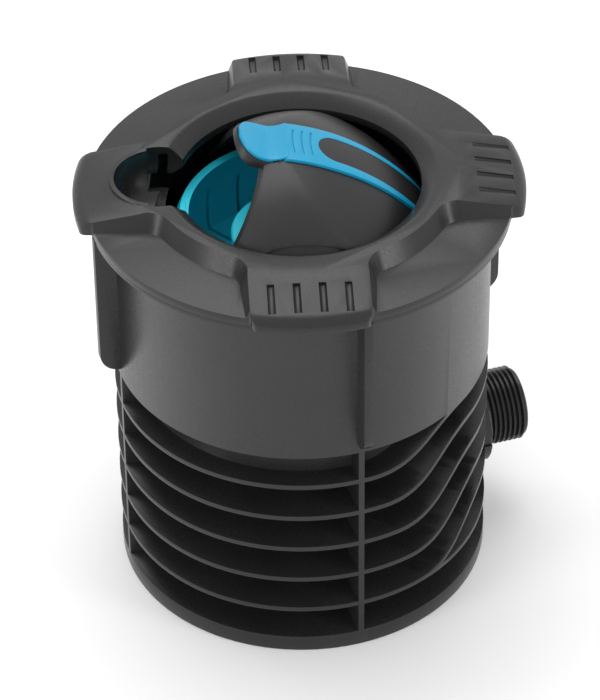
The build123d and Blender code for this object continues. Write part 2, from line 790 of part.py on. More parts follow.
def lid_cradle():
    arm_half = 12.0
    with BuildPart() as cradle:
        with BuildSketch(Plane.XY.offset(CRADLE_Z0)):
            Circle(CRADLE_OUT)
            Circle(CRADLE_IN, mode=Mode.SUBTRACT)
        extrude(amount=RING_Z0 - CRADLE_Z0)
        with BuildSketch(Plane.XZ):
            with Locations((0, BALL_Z)):
                Circle(arm_half)
            with Locations((0, BALL_Z + 7)):
                Rectangle(2 * arm_half, 14)
        extrude(amount=CRADLE_OUT, both=True)
        with BuildSketch(Plane.XY.offset(BALL_Z - 20)):
            Circle(90)
            Circle(CRADLE_OUT, mode=Mode.SUBTRACT)
        extrude(amount=60, mode=Mode.SUBTRACT)
        with BuildSketch(Plane.XY.offset(BALL_Z - 20)):
            Circle(CRADLE_IN)
        extrude(amount=60, mode=Mode.SUBTRACT)
        for angle in BOSS_AZ:
            with BuildSketch(azimuth_plane(angle)):
                with Locations(((CRADLE_OUT + BOSS_RING_R + 2.4) / 2 - 0.5, CRADLE_TAB_Z + 1.25)):
                    Rectangle(BOSS_RING_R + 3.4 - CRADLE_OUT, 2.5)
            extrude(amount=3.2, both=True)
            with BuildSketch(Plane.XY.offset(CRADLE_TAB_Z - 1)):
                with Locations((BOSS_RING_R * cos(radians(angle)), BOSS_RING_R * sin(radians(angle)))):
                    Circle(SCREW_R + 0.2)
            extrude(amount=5, mode=Mode.SUBTRACT)
        for angle in TAB_AZ:
            with BuildSketch(azimuth_plane(angle - TAB_ARC / 2)):
                with Locations(((CRADLE_OUT + 61.2) / 2 - 0.25, TAB_Z + 1.5)):
                    Rectangle(61.2 - CRADLE_OUT + 0.5, 3.0)
            revolve(axis=Axis.Z, revolution_arc=TAB_ARC)
        with Locations(SCOOP):
            Sphere(SCOOP_WALL_R + 0.3, mode=Mode.SUBTRACT)
        with Locations(BALL):
            Cylinder(6.0, 4 * BODY_R, rotation=(90, 0, 0), mode=Mode.SUBTRACT)
            Sphere(LID_CLEAR, mode=Mode.SUBTRACT)
    return cradle


def side_plane(side, distance):
    """Plane square to the pivot axis, on the front (-1) or back (+1), facing outwards."""
    return Plane(origin=(0, side * distance, BALL_Z), x_dir=(1, 0, 0), z_dir=(0, side, 0))


def pivot_bush(side):
    flange_y = 49.55
    flange_t = 0.85
    with BuildPart() as bush:
        with BuildSketch(side_plane(side, flange_y)):
            Circle(7.5)
        extrude(amount=flange_t)
        with BuildSketch(side_plane(side, flange_y + flange_t)):
            Circle(6.0)
        extrude(amount=CRADLE_OUT - 0.4 - flange_y - flange_t)
        with BuildSketch(side_plane(side, flange_y - 1)):
            Circle(PIN_R + 0.05)
        extrude(amount=8, mode=Mode.SUBTRACT)
    return bush


def pivot_pin(side):
    inner_y = 46.3
    with BuildPart() as pin:
        with BuildSketch(side_plane(side, inner_y)):
            Circle(PIN_R)
        extrude(amount=PIN_END - inner_y)
        chamfer(pin.faces().sort_by(Axis.Y)[-1 if side > 0 else 0].edges(), 0.5)
    return pin


# ---------------------------------------------------------------- ball lid


def polar(radius, left):
    """Point of the lid's middle plane, by its angle left of the closed lid's top."""
    return (-radius * sin(radians(left)), radius * cos(radians(left)))


def lid_side_plane():
    """The lid's middle plane: local x along the lid's x, local y along the lid's z."""
    return Plane(origin=BALL, x_dir=LID_FRAME.x_dir, z_dir=(0, -1, 0))


def crown_ball(inset):
    """Ball whose top is planed off to the flatter crown, taken in by inset all round."""
    with BuildPart(LID_FRAME) as ball:
        Sphere(LID_R - inset)
        with Locations((0, 0, -CROWN_DROP)):
            Sphere(CROWN_R - inset, mode=Mode.INTERSECT)
    return ball.part


def lever_plan(half):
    """Plan of the thumb lever: straight sides and a half-round tip."""
    with BuildSketch() as plan:
        with Locations((-LEVER_END, 0)):
            Circle(half)
        with Locations((-LEVER_END + 8, 0)):
            Rectangle(16, 2 * half)
    return plan.sketch


def lid_shell():
    slot_corner = (8.5, -8.5)
    trail = polar(47, -60)
    lead = polar(47, 154)
    reach = [tuple(c + 3 * (p - c) for p, c in zip(point, slot_corner)) for point in (trail, lead)]
    mouth = 90 + MOUTH_TILT
    with BuildPart() as lever:
        with BuildSketch(lid_side_plane()):
            with BuildLine():
                Spline((-49.3, 30.3), (-44.0, 30.0), (-38.2, 31.2))
                Polyline((-38.2, 31.2), (-33.5, 34.6), (-33.0, 33.8), (-37.5, 28.6), (-42.0, 26.6))
                Spline((-42.0, 26.6), (-46.0, 26.9), (-49.6, 28.6))
                Line((-49.6, 28.6), (-49.3, 30.3))
            make_face()
        extrude(amount=12, both=True)
        with BuildSketch(LID_FRAME):
            add(lever_plan(STRIP_HALF))
        extrude(amount=60, mode=Mode.INTERSECT)
    with BuildPart() as shell:
        add(crown_ball(0))
        add(crown_ball(LID_WALL), mode=Mode.SUBTRACT)
        with BuildSketch(lid_side_plane()):
            with BuildLine():
                Polyline(slot_corner, reach[0], (180, -180), reach[1], slot_corner)
            make_face()
        extrude(amount=60, both=True, mode=Mode.SUBTRACT)
        with BuildSketch(lid_side_plane()):
            with BuildLine():
                Polyline(
                    polar(2 * MOUTH_D, mouth - 60),
                    polar(2 * MOUTH_D, mouth + 60),
                    polar(150, mouth + 30),
                    polar(150, mouth - 30),
                    polar(2 * MOUTH_D, mouth - 60),
                )
            make_face()
        extrude(amount=60, both=True, mode=Mode.SUBTRACT)
        add(lever.part)
        # seat of the thumb pad
        with BuildSketch(lid_side_plane()):
            with BuildLine():
                Polyline(
                    (-38.2, 31.2), (-35.6, 33.0), (PAD_END, 35.6), (PAD_END, 45), (-38.2, 45), (-38.2, 31.2)
                )
            make_face()
        extrude(amount=STRIP_HALF, both=True, mode=Mode.SUBTRACT)
        with Locations(BALL):
            Cylinder(PIN_R, 120, rotation=(90, 0, 0), mode=Mode.SUBTRACT)
    for side in (-1, 1):
        with BuildPart() as step:
            with BuildSketch(side_plane(side, 30)):
                Circle(34)
            extrude(amount=30)
            with Locations(BALL):
                Sphere(LID_R - 0.5, mode=Mode.SUBTRACT)
        with BuildPart() as stepped:
            add(shell.part)
            add(step.part, mode=Mode.SUBTRACT)
        shell = stepped
    return shell


def strip_grooves():
    """Three fine curved grip lines across the strip, just behind the pad."""
    crown_top = CROWN_R + STRIP_RISE
    bend = 30.0
    with BuildPart() as lines:
        with BuildSketch(LID_FRAME):
            for spot in (-32.2, -29.4, -26.6):
                with BuildLine():
                    CenterArc((spot + bend, 0), bend + 0.3, 168, 24)
                    CenterArc((spot + bend, 0), bend - 0.3, 168, 24)
                    Line(arc_end(spot, bend, 0.3, 168), arc_end(spot, bend, -0.3, 168))
                    Line(arc_end(spot, bend, 0.3, 192), arc_end(spot, bend, -0.3, 192))
                make_face()
        extrude(amount=60)
        with Locations(LID_FRAME.from_local_coords(Vector(0, 0, -CROWN_DROP))):
            Sphere(crown_top - 0.35, mode=Mode.SUBTRACT)
    return lines.part


def arc_end(spot, bend, offset_by, angle):
    """End of a grip line's edge, on its bend about a centre right of the spot."""
    reach = bend + offset_by
    return (spot + bend + reach * cos(radians(angle)), reach * sin(radians(angle)))


def lid_handle(shell):
    """Strip laid over the crown, with a raised pad on the thumb lever."""
    crown_centre = LID_FRAME.from_local_coords(Vector(0, 0, -CROWN_DROP))
    far_end = 29.0
    with BuildPart() as over_crown:
        with BuildSketch(LID_FRAME):
            with BuildLine():
                Polyline(
                    (PAD_END, -STRIP_HALF),
                    (-15, -STRIP_HALF),
                    (far_end, -7.8),
                    (far_end, 7.8),
                    (-15, STRIP_HALF),
                    (PAD_END, STRIP_HALF),
                    (PAD_END, -STRIP_HALF),
                )
            make_face()
        extrude(amount=60)
        with Locations(crown_centre):
            Sphere(CROWN_R + STRIP_RISE, mode=Mode.INTERSECT)
    with BuildPart() as pad:
        with BuildSketch(lid_side_plane()):
            with BuildLine():
                Spline((-48.6, 31.6), (-43.5, 31.1), (-38.3, 32.3))
                Spline((-38.3, 32.3), (-36.2, 33.9), (PAD_END, 36.89))
                Polyline((PAD_END, 36.89), (PAD_END, 30), (-38.6, 28.5), (-48.6, 28.5), (-48.6, 31.6))
            make_face()
        extrude(amount=12, both=True)
        with BuildSketch(LID_FRAME):
            add(lever_plan(STRIP_HALF - 0.6))
        extrude(amount=60, mode=Mode.INTERSECT)
        # the pad lies on the lever, never under it
        with BuildSketch(lid_side_plane()):
            with BuildLine():
                Spline((-49.3, 30.3), (-44.0, 30.0), (-38.2, 31.2))
                Polyline(
                    (-38.2, 31.2), (-35.6, 33.0), (PAD_END, 35.6), (PAD_END, 20), (-49.3, 20), (-49.3, 30.3)
                )
            make_face()
        extrude(amount=12, both=True, mode=Mode.SUBTRACT)
    with BuildPart() as strip:
        add(over_crown.part)
        add(pad.part)
        add(crown_ball(0), mode=Mode.SUBTRACT)
        add(shell, mode=Mode.SUBTRACT)
        add(strip_grooves(), mode=Mode.SUBTRACT)
        add(strip_panel(CROWN_R + 1.5 * STRIP_RISE).part, mode=Mode.SUBTRACT)
    return strip


def strip_panel(top_radius):
    """Long panel with round ends, let into the strip and rising to a radius of the crown."""
    start = -24.0
    end = 25.0
    half = 6.3
    with BuildPart() as panel:
        with Locations(LID_FRAME.from_local_coords(Vector(0, 0, -CROWN_DROP))):
            Sphere(top_radius)
            Sphere(CROWN_R + STRIP_RISE - 0.75, mode=Mode.SUBTRACT)
        with BuildSketch(LID_FRAME):
            with Locations(((start + end) / 2, 0)):
                SlotOverall(end - start, 2 * half)
        extrude(amount=60, mode=Mode.INTERSECT)
    return panel


# ---------------------------------------------------------------- build and write


def main():
    save(ground_casing(), "ground_casing")
    save(base_plate(), "base_plate")
    save(screw_group(PLATE_SCREW_R, (45, 135, 225, 315), 0.1, 5.2), "base_plate_screws")
    save(inlet_elbow(), "inlet_elbow")
    save(inlet_lock_nut(), "inlet_lock_nut")
    save(flat_ring(inlet_plane(BOSS_IN - SEAL_T), BOSS_R - 2, THREAD_R + 0.3, SEAL_T), "inlet_seal_ring")
    save(valve_body(), "valve_body")
    save(round_seal(SPIGOT_R - 0.6, 0.6, RISER_Z0 + 4), "riser_o_ring")
    save(strainer_basket(), "strainer_basket")
    save(hose_nipple(), "hose_nipple")
    save(round_seal(6.8 + 0.8, 0.8, 152.1), "nipple_o_ring")
    save(valve_poppet(), "valve_poppet")
    save(flat_ring(Plane.XY.offset(POPPET_Z0 + 5), 8.0, STEM_R + 0.05, 1.2), "poppet_seal")
    save(valve_spring(), "valve_spring")
    save(bowl(), "bowl")
    save(top_ring(), "top_ring")
    save(flat_ring(Plane.XY.offset(RING_Z0 - 0.2), 67, 65, 1.5), "ring_seal")
    save(lid_cradle(), "lid_cradle")
    save(screw_group(BOSS_RING_R, BOSS_AZ, CRADLE_TAB_Z - 1.5, 148.4), "cradle_screws")
    for side, word in ((-1, "front"), (1, "back")):
        save(pivot_bush(side), f"pivot_bush_{word}")
        save(pivot_pin(side), f"pivot_pin_{word}")
    shell = lid_shell()
    save(shell, "lid_shell")
    save(strip_panel(CROWN_R + STRIP_RISE - 0.15), "handle_inlay")
    save(lid_handle(shell.part), "lid_handle")


if __name__ == "__main__":
    main()
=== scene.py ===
import json
from math import cos, radians, sin

import bmesh
import bpy
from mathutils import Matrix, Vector


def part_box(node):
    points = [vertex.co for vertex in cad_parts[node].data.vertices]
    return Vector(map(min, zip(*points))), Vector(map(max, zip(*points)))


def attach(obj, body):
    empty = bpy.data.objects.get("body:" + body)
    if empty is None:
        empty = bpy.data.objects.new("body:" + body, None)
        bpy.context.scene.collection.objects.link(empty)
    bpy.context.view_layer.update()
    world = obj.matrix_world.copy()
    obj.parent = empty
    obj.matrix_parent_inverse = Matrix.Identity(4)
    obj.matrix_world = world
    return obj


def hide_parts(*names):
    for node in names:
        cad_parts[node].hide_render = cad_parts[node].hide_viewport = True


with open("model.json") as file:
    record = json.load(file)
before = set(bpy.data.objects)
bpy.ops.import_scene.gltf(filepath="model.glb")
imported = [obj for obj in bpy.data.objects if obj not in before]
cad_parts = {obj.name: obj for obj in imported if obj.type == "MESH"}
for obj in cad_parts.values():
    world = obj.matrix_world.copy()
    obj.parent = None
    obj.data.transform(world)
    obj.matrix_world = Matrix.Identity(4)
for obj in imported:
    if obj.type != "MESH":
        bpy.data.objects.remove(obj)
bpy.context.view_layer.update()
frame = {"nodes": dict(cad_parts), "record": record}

MM = 0.001
WELD_DISTANCE = 0.000002
SHARP_ANGLE = 40
SCREW_HEAD_R = 0.0026
GAUZE_SHARE = 0.72
FLOOR_DROP = 0.0003
NODES = frame["nodes"]


# ---------------------------------------------------------------- node trees


def new_group(name, inputs, outputs):
    """Shader node group with named sockets. inputs: name -> (type, value); outputs: name -> type."""
    group = bpy.data.node_groups.new(name, "ShaderNodeTree")
    for label, (kind, value) in inputs.items():
        socket = group.interface.new_socket(label, in_out="INPUT", socket_type=kind)
        socket.default_value = value
    for label, kind in outputs.items():
        group.interface.new_socket(label, in_out="OUTPUT", socket_type=kind)
    start = group.nodes.new("NodeGroupInput")
    end = group.nodes.new("NodeGroupOutput")
    return group, start, end


def add_node(tree, kind, links=None, **settings):
    """New node; settings are its properties, links its inputs as values or as sockets."""
    node = tree.nodes.new(kind)
    for key, value in settings.items():
        setattr(node, key, value)
    for key, value in (links or {}).items():
        if isinstance(value, bpy.types.NodeSocket):
            tree.links.new(value, node.inputs[key])
        else:
            node.inputs[key].default_value = value
    return node


def band(tree, value, low, high, out_low=0.0, out_high=1.0):
    """Value mapped from low..high to out_low..out_high, clamped."""
    links = {"Value": value, "From Min": low, "From Max": high, "To Min": out_low, "To Max": out_high}
    return add_node(tree, "ShaderNodeMapRange", links).outputs["Result"]


def times(tree, value, factor):
    return add_node(tree, "ShaderNodeMath", {0: value, 1: factor}, operation="MULTIPLY").outputs[0]


def minus(tree, value, other):
    return add_node(tree, "ShaderNodeMath", {0: value, 1: other}, operation="SUBTRACT").outputs[0]


def plus(tree, value, other):
    return add_node(tree, "ShaderNodeMath", {0: value, 1: other}, operation="ADD").outputs[0]


def scale_for(tree, size):
    """Texture scale at which one feature is as large as size."""
    return add_node(tree, "ShaderNodeMath", {0: 1.0, 1: size}, operation="DIVIDE").outputs[0]


def noise(tree, point, scale, detail):
    links = {"Vector": point, "Scale": scale, "Detail": detail}
    return add_node(tree, "ShaderNodeTexNoise", links).outputs["Fac"]


def object_point(tree):
    return add_node(tree, "ShaderNodeTexCoord").outputs["Object"]


def mould_grain_group():
    """Fine spark-eroded grain of a moulded face, with slow waves of shrinkage under it."""
    group, start, end = new_group(
        "Mould grain",
        {"Grain size": ("NodeSocketFloat", 0.0004), "Wave size": ("NodeSocketFloat", 0.03)},
        {"Height": "NodeSocketFloat", "Tone": "NodeSocketFloat", "Gloss": "NodeSocketFloat"},
    )
    point = object_point(group)
    fine = noise(group, point, scale_for(group, start.outputs["Grain size"]), 3.0)
    slow = noise(group, point, scale_for(group, start.outputs["Wave size"]), 2.0)
    group.links.new(plus(group, fine, times(group, slow, 0.6)), end.inputs["Height"])
    group.links.new(band(group, slow, 0.3, 0.7), end.inputs["Tone"])
    group.links.new(band(group, fine, 0.35, 0.65), end.inputs["Gloss"])
    return group


def scuff_group():
    """Sparse fine scratches and rubbed patches from handling."""
    group, start, end = new_group(
        "Handling scuffs",
        {"Patch size": ("NodeSocketFloat", 0.02), "Amount": ("NodeSocketFloat", 0.5)},
        {"Mask": "NodeSocketFloat"},
    )
    point = object_point(group)
    stretched = add_node(group, "ShaderNodeMapping", {"Vector": point, "Scale": (1800.0, 260.0, 260.0)})
    stretched.inputs["Rotation"].default_value = (0.3, 0.2, 0.7)
    lines = noise(group, stretched.outputs[0], 1.0, 2.0)
    patch = noise(group, point, scale_for(group, start.outputs["Patch size"]), 4.0)
    both = times(group, band(group, lines, 0.62, 0.72), band(group, patch, 0.5, 0.68))
    group.links.new(times(group, both, start.outputs["Amount"]), end.inputs["Mask"])
    return group


def dust_group():
    """Pale dust that settles on faces that look up."""
    group, start, end = new_group(
        "Settled dust",
        {"Amount": ("NodeSocketFloat", 0.3), "Speck size": ("NodeSocketFloat", 0.0012)},
        {"Mask": "NodeSocketFloat"},
    )
    point = object_point(group)
    specks = noise(group, point, scale_for(group, start.outputs["Speck size"]), 3.0)
    drift = noise(group, point, 45.0, 3.0)
    normal = add_node(group, "ShaderNodeNewGeometry").outputs["Normal"]
    up = add_node(group, "ShaderNodeSeparateXYZ", {0: normal}).outputs["Z"]
    level = band(group, up, 0.55, 0.98)
    settled = times(group, times(group, level, band(group, specks, 0.52, 0.7)), band(group, drift, 0.35, 0.75))
    group.links.new(times(group, settled, start.outputs["Amount"]), end.inputs["Mask"])
    return group


GRAIN = mould_grain_group()
SCUFFS = scuff_group()
DUST = dust_group()


def blank_material(name):
    material = bpy.data.materials.new(name)
    material.use_nodes = True
    tree = material.node_tree
    return material, tree, tree.nodes["Principled BSDF"]


def place_group(tree, group, **values):
    node = tree.nodes.new("ShaderNodeGroup")
    node.node_tree = group
    for key, value in values.items():
        node.inputs[key.replace("_", " ")].default_value = value
    return node


def mix_colour(tree, factor, first, second):
    node = tree.nodes.new("ShaderNodeMix")
    node.data_type = "RGBA"
    for key, value in ((0, factor), (6, first), (7, second)):
        if isinstance(value, bpy.types.NodeSocket):
            tree.links.new(value, node.inputs[key])
        else:
            node.inputs[key].default_value = value
    return node.outputs[2]


def bumped(tree, height, distance, strength):
    links = {"Height": height, "Distance": distance, "Strength": strength}
    return add_node(tree, "ShaderNodeBump", links).outputs["Normal"]


def moulded_plastic(name, dark, light, rough, scuff=0.18, dust=0.03, coat=0.0, grain=0.00045, depth=0.00004):
    """Injection-moulded plastic: two close tones, grain, scuffs and a little dust."""
    material, tree, shader = blank_material(name)
    moulded = place_group(tree, GRAIN, Grain_size=grain, Wave_size=0.03)
    scuffs = place_group(tree, SCUFFS, Patch_size=0.022, Amount=scuff)
    dusty = place_group(tree, DUST, Amount=dust, Speck_size=0.0012)
    plain = mix_colour(tree, moulded.outputs["Tone"], (*dark, 1), (*light, 1))
    rubbed = tuple(min(1.0, 1.7 * c + 0.02) for c in light)
    worn = mix_colour(tree, scuffs.outputs["Mask"], plain, (*rubbed, 1))
    dusted = mix_colour(tree, dusty.outputs["Mask"], worn, (0.42, 0.41, 0.38, 1))
    tree.links.new(dusted, shader.inputs["Base Color"])
    sheen = band(tree, moulded.outputs["Gloss"], 0.0, 1.0, rough - 0.05, rough + 0.07)
    tree.links.new(plus(tree, dusty.outputs["Mask"], sheen), shader.inputs["Roughness"])
    tree.links.new(bumped(tree, moulded.outputs["Height"], depth, 0.35), shader.inputs["Normal"])
    shader.inputs["Specular IOR Level"].default_value = 0.4
    shader.inputs["Coat Weight"].default_value = coat
    shader.inputs["Coat Roughness"].default_value = 0.2
    return material


def turned_metal(name, colour, rough):
    """Bright steel with fine drawing or turning lines."""
    material, tree, shader = blank_material(name)
    moulded = place_group(tree, GRAIN, Grain_size=0.0002, Wave_size=0.006)
    scuffs = place_group(tree, SCUFFS, Patch_size=0.008, Amount=0.8)
    shade = tuple(0.82 * c for c in colour)
    toned = mix_colour(tree, moulded.outputs["Tone"], (*colour, 1), (*shade, 1))
    worn = mix_colour(tree, scuffs.outputs["Mask"], toned, (0.75, 0.74, 0.72, 1))
    tree.links.new(worn, shader.inputs["Base Color"])
    sheen = band(tree, moulded.outputs["Gloss"], 0.0, 1.0, rough - 0.06, rough + 0.08)
    tree.links.new(sheen, shader.inputs["Roughness"])
    tree.links.new(bumped(tree, moulded.outputs["Height"], 0.00001, 0.3), shader.inputs["Normal"])
    shader.inputs["Metallic"].default_value = 1.0
    return material


def seal_rubber():
    material, tree, shader = blank_material("seal rubber")
    moulded = place_group(tree, GRAIN, Grain_size=0.0006, Wave_size=0.01)
    dusty = place_group(tree, DUST, Amount=0.35, Speck_size=0.0008)
    plain = mix_colour(tree, moulded.outputs["Tone"], (0.012, 0.012, 0.012, 1), (0.026, 0.025, 0.024, 1))
    dusted = mix_colour(tree, dusty.outputs["Mask"], plain, (0.3, 0.29, 0.27, 1))
    tree.links.new(dusted, shader.inputs["Base Color"])
    tree.links.new(band(tree, moulded.outputs["Gloss"], 0.0, 1.0, 0.6, 0.78), shader.inputs["Roughness"])
    tree.links.new(bumped(tree, moulded.outputs["Height"], 0.00005, 0.4), shader.inputs["Normal"])
    return material


ANTHRACITE = moulded_plastic("anthracite shell", (0.0125, 0.0125, 0.0130), (0.0155, 0.0155, 0.0160), 0.31)
DARK_FITTING = moulded_plastic("dark fitting", (0.010, 0.010, 0.011), (0.014, 0.014, 0.015), 0.30, dust=0.02)
LID_PLASTIC = moulded_plastic(
    "lid plastic", (0.0125, 0.0125, 0.0130), (0.0155, 0.0155, 0.0160), 0.36, depth=0.00007
)
CYAN_HANDLE = moulded_plastic("cyan handle", (0.004, 0.265, 0.455), (0.005, 0.285, 0.485), 0.38, 0.08, 0.0)
CYAN_BOWL = moulded_plastic("cyan bowl", (0.020, 0.56, 0.72), (0.024, 0.62, 0.78), 0.36, 0.25, 0.02)
INLAY = moulded_plastic("inlay", (0.013, 0.013, 0.014), (0.018, 0.018, 0.019), 0.42, dust=0.02)
NIPPLE_GREY = moulded_plastic("nipple grey", (0.12, 0.13, 0.14), (0.16, 0.17, 0.18), 0.34, 0.3, 0.02, 0.1)
NATURAL_ACETAL = moulded_plastic("natural acetal", (0.62, 0.62, 0.58), (0.70, 0.70, 0.66), 0.34, 0.2, 0.0, 0.1)
STRAINER_PLASTIC = moulded_plastic("strainer plastic", (0.50, 0.52, 0.50), (0.60, 0.61, 0.58), 0.38, 0.2, 0.0)
STEEL = turned_metal("screw steel", (0.58, 0.57, 0.55), 0.30)
RUBBER = seal_rubber()

FINISH = {
    "anthracite": ANTHRACITE,
    "dark_fitting": DARK_FITTING,
    "screw_steel": STEEL,
    "pin_steel": STEEL,
    "spring_steel": STEEL,
    "seal_rubber": RUBBER,
    "strainer_mesh": STRAINER_PLASTIC,
    "nipple_grey": NIPPLE_GREY,
    "bush_white": NATURAL_ACETAL,
    "cyan_bowl": CYAN_BOWL,
    "cyan_handle": CYAN_HANDLE,
    "inlay_dark": INLAY,
}


def slot_of_node(node):
    return next(s["material_slot"] for s in frame["record"]["subparts"] if s["node"] == node)


def finish_node(node):
    return LID_PLASTIC if node == "lid_shell" else FINISH[slot_of_node(node)]


def dress(piece, material):
    piece.data.materials.clear()
    piece.data.materials.append(material)


for name, node_object in NODES.items():
    dress(node_object, finish_node(name))


# ---------------------------------------------------------------- moulded edges


def body_of_node(node):
    bodies = frame["record"]["behaviour"]["bodies"]
    return next(body for body, members in bodies.items() if node in members)


def link_piece(name, mesh):
    piece = bpy.data.objects.new(name, mesh)
    bpy.context.scene.collection.objects.link(piece)
    return piece


def plain_mesh(piece, name):
    """Evaluated mesh of a piece, put in place of its modifiers."""
    depsgraph = bpy.context.evaluated_depsgraph_get()
    mesh = bpy.data.meshes.new_from_object(piece.evaluated_get(depsgraph))
    mesh.name = name
    piece.modifiers.clear()
    piece.data = mesh


def shade_smooth(piece, sharp_angle):
    for polygon in piece.data.polygons:
        polygon.use_smooth = True
    piece.data.set_sharp_from_angle(angle=radians(sharp_angle))


def soft_edges(node, width):
    """Copy of a moulding whose sharp edges are rounded, as they come off a real mould."""
    work = bmesh.new()
    work.from_mesh(NODES[node].data)
    bmesh.ops.remove_doubles(work, verts=work.verts, dist=WELD_DISTANCE)
    bmesh.ops.dissolve_limit(work, angle_limit=radians(1.0), verts=work.verts, edges=work.edges)
    mesh = bpy.data.meshes.new(node + "_moulding")
    work.to_mesh(mesh)
    work.free()
    piece = link_piece(node + "_moulding", mesh)
    bevel = piece.modifiers.new("Edge", "BEVEL")
    bevel.width = width
    bevel.segments = 2
    bevel.limit_method = "ANGLE"
    bevel.angle_limit = radians(38)
    bevel.use_clamp_overlap = True
    bevel.harden_normals = False
    plain_mesh(piece, node + "_moulding")
    shade_smooth(piece, 32)
    dress(piece, finish_node(node))
    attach(piece, body_of_node(node))
    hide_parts(node)


for node, width in (("top_ring", 0.45), ("ground_casing", 0.25), ("lid_shell", 0.3), ("lid_handle", 0.15)):
    soft_edges(node, width * MM)


# ---------------------------------------------------------------- crease of the thumb pad


def crease_fill(low_x, high_x, half_width):
    """Thin blue web over the crease between pad and strip, as high as the strip beside it."""
    moulding = bpy.data.objects["lid_handle_moulding"]
    bpy.context.view_layer.update()
    columns = 8
    rows = 6
    edge_drop = 0.00012
    middle_rise = 0.00004
    thickness = 0.0006
    from_above = 0.3
    verts = []
    for lift in (0.0, -thickness):
        for i in range(columns + 1):
            x = low_x + (high_x - low_x) * i / columns
            beside = []
            for side in (-1, 1):
                place = (x, side * half_width, from_above)
                beside.append(moulding.ray_cast(place, (0, 0, -1))[1].z)
            for j in range(rows + 1):
                at_edge = i in (0, columns) or j in (0, rows)
                offset = -edge_drop if at_edge else middle_rise
                z = beside[0] + (beside[1] - beside[0]) * j / rows
                verts.append((x, half_width * (2 * j / rows - 1), z + offset + lift))
    layer = (columns + 1) * (rows + 1)
    faces = []
    for i in range(columns):
        for j in range(rows):
            a = i * (rows + 1) + j
            b = a + rows + 1
            faces.append((a, b, b + 1, a + 1))
            faces.append((a + layer, a + 1 + layer, b + 1 + layer, b + layer))
    rim = [i * (rows + 1) for i in range(columns + 1)]
    rim += [columns * (rows + 1) + j for j in range(1, rows + 1)]
    rim += [i * (rows + 1) + rows for i in range(columns - 1, -1, -1)]
    rim += [j for j in range(rows - 1, 0, -1)]
    for k, a in enumerate(rim):
        b = rim[(k + 1) % len(rim)]
        faces.append((a, a + layer, b + layer, b))
    mesh = bpy.data.meshes.new("crease_web")
    mesh.from_pydata(verts, [], faces)
    piece = link_piece("crease_web", mesh)
    shade_smooth(piece, SHARP_ANGLE)
    dress(piece, finish_node("lid_handle"))
    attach(piece, body_of_node("lid_handle"))


crease_fill(-0.0096, -0.0053, 0.0058)


# ---------------------------------------------------------------- what repeats


def geometry_tree(name, inputs):
    """Geometry Nodes tree with named inputs: name -> (type, value). Returns it, its start and its end."""
    group = bpy.data.node_groups.new(name, "GeometryNodeTree")
    group.is_modifier = True
    group.interface.new_socket("Geometry", in_out="INPUT", socket_type="NodeSocketGeometry")
    for label, (kind, value) in inputs.items():
        socket = group.interface.new_socket(label, in_out="INPUT", socket_type=kind)
        if value is not None:
            socket.default_value = value
    group.interface.new_socket("Geometry", in_out="OUTPUT", socket_type="NodeSocketGeometry")
    return group, group.nodes.new("NodeGroupInput"), group.nodes.new("NodeGroupOutput")


def vector(tree, x, y, z):
    return add_node(tree, "ShaderNodeCombineXYZ", {0: x, 1: y, 2: z}).outputs[0]


def placed_shape(tree, shape, x, y, z):
    links = {"Geometry": shape, "Translation": vector(tree, x, y, z)}
    return add_node(tree, "GeometryNodeTransform", links).outputs[0]


def end_tree(tree, shape, start, end):
    """Every tree ends in real geometry that carries its material."""
    real = add_node(tree, "GeometryNodeRealizeInstances", {"Geometry": shape})
    links = {"Geometry": real.outputs["Geometry"], "Material": start.outputs["Material"]}
    painted = add_node(tree, "GeometryNodeSetMaterial", links)
    tree.links.new(painted.outputs["Geometry"], end.inputs["Geometry"])


